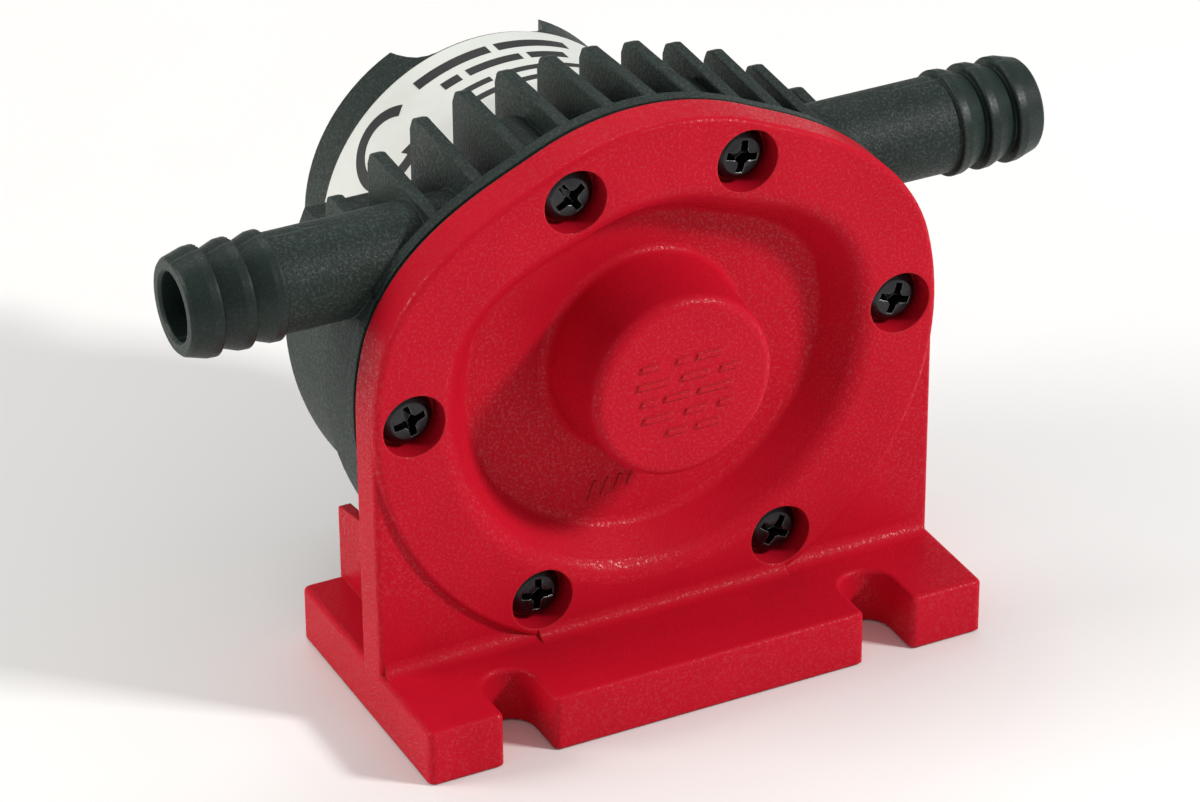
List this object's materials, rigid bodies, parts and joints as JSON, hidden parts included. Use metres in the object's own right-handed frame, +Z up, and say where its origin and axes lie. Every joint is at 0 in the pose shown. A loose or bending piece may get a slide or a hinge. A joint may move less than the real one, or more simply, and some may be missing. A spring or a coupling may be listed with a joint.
{
  "type": "drill-driven bilge pump",
  "caption": "Small self-priming vane pump for a drill: red cover and base in one, black finned housing, two hose barbs, plain drive shaft out of an open rear hood.",
  "frame": {"origin": "on the underside of the base, in line with the drive shaft, below the front face of the cover", "axes": "+X along the hose barbs, +Y along the drive shaft towards its free end, +Z up"},
  "size_m": [0.1358, 0.1077, 0.0873],
  "materials": {
    "red_cover": "fine-grained red moulded plastic, satin",
    "black_housing": "black glass-filled plastic with spark-eroded grain",
    "gasket_rubber": "black sheet rubber",
    "black_steel": "blackened steel, satin",
    "bronze": "sintered bronze, oil-soaked",
    "stainless_sheet": "brushed stainless sheet",
    "seal_steel": "phosphated pressed steel",
    "seal_rubber": "dark nitrile rubber",
    "spring_steel": "oiled spring steel",
    "bearing_steel": "ground and polished bearing steel",
    "shield_steel": "pressed steel, zinc plated",
    "cage_nylon": "natural nylon",
    "spacer_nylon": "natural white acetal",
    "label_film": "printed white film, low gloss",
    "shaft_steel": "ground steel shaft",
    "impeller_brass": "turned brass",
    "impeller_rubber": "soft black nitrile rubber"
  },
  "bodies": {
    "pump_body": {"front_cover": "red_cover", "pump_housing": "black_housing", "cover_gasket": "gasket_rubber", "cover_screws": "black_steel", "front_bush": "bronze", "front_wear_plate": "stainless_sheet", "rear_wear_plate": "stainless_sheet", "shaft_seal_case": "seal_steel", "shaft_seal_lip": "seal_rubber", "seal_garter_spring": "spring_steel", "bearing_spacer": "spacer_nylon", "bearing_outer_ring": "bearing_steel", "bearing_shields": "shield_steel", "housing_circlip": "spring_steel", "rating_label": "label_film"},
    "rotor": {"drive_shaft": "shaft_steel", "drive_pin": "bearing_steel", "impeller_insert": "impeller_brass", "impeller_vanes": "impeller_rubber", "bearing_inner_ring": "bearing_steel", "front_circlip": "spring_steel", "rear_circlip": "spring_steel", "thrust_washer": "bronze", "slinger_ring": "gasket_rubber"},
    "ball_cage": {"bearing_balls": "bearing_steel", "bearing_cage": "cage_nylon"}
  },
  "joints": [
    {"name": "shaft_spin", "type": "hinge", "parent": "pump_body", "child": "rotor", "pos_m": [0, 0, 0.0486], "axis": [0, 1, 0], "continuous": true, "deforming": ["impeller_vanes"]},
    {"name": "cage_spin", "type": "hinge", "parent": "pump_body", "child": "ball_cage", "pos_m": [0, 0, 0.0486], "axis": [0, 1, 0], "continuous": true}
  ],
  "couplings": [
    {"joint": "cage_spin", "follows": "shaft_spin", "ratio": 0.3713}
  ]
}
